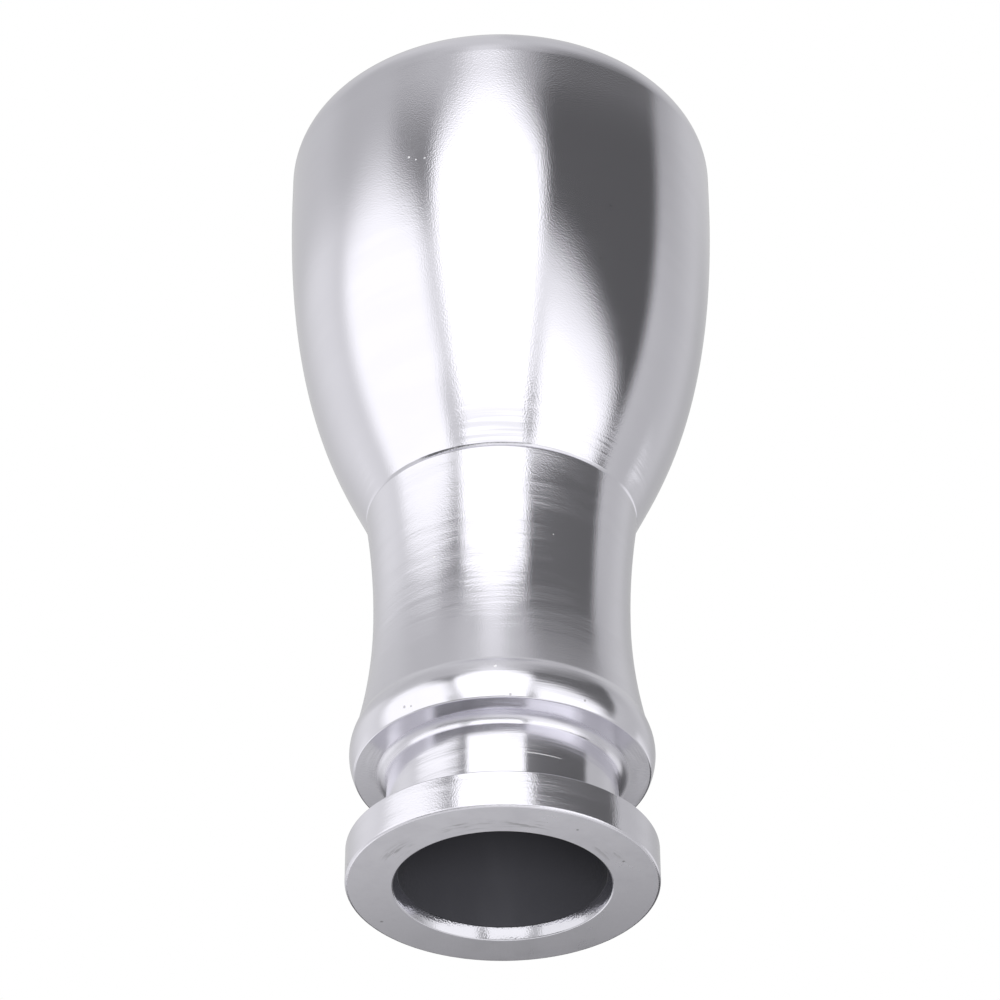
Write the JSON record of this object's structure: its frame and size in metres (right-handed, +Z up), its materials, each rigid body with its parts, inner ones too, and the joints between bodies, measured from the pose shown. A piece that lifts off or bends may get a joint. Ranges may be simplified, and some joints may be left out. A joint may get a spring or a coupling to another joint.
{
  "type": "gear shift knob",
  "caption": "Turned aluminium gear shift knob: pear-shaped head on a waisted neck with a bead, a boot groove and a flange, black-lined bore and a threaded bush for the lever.",
  "frame": {"origin": "centre of the lower face, on the lever's axis", "axes": "+Z up the lever's axis, from the lower flange to the crown; X and Y are free, as every piece is turned about Z"},
  "size_m": [0.05, 0.05, 0.106],
  "materials": {
    "head_aluminium": "turned and lightly polished",
    "neck_aluminium": "turned and lightly polished, with matte faces",
    "liner_plastic": "smooth black",
    "bush_brass": "machined"
  },
  "bodies": {
    "root": {"head": "head_aluminium", "neck": "neck_aluminium", "liner": "liner_plastic", "lever_bush": "bush_brass"}
  },
  "joints": []
}
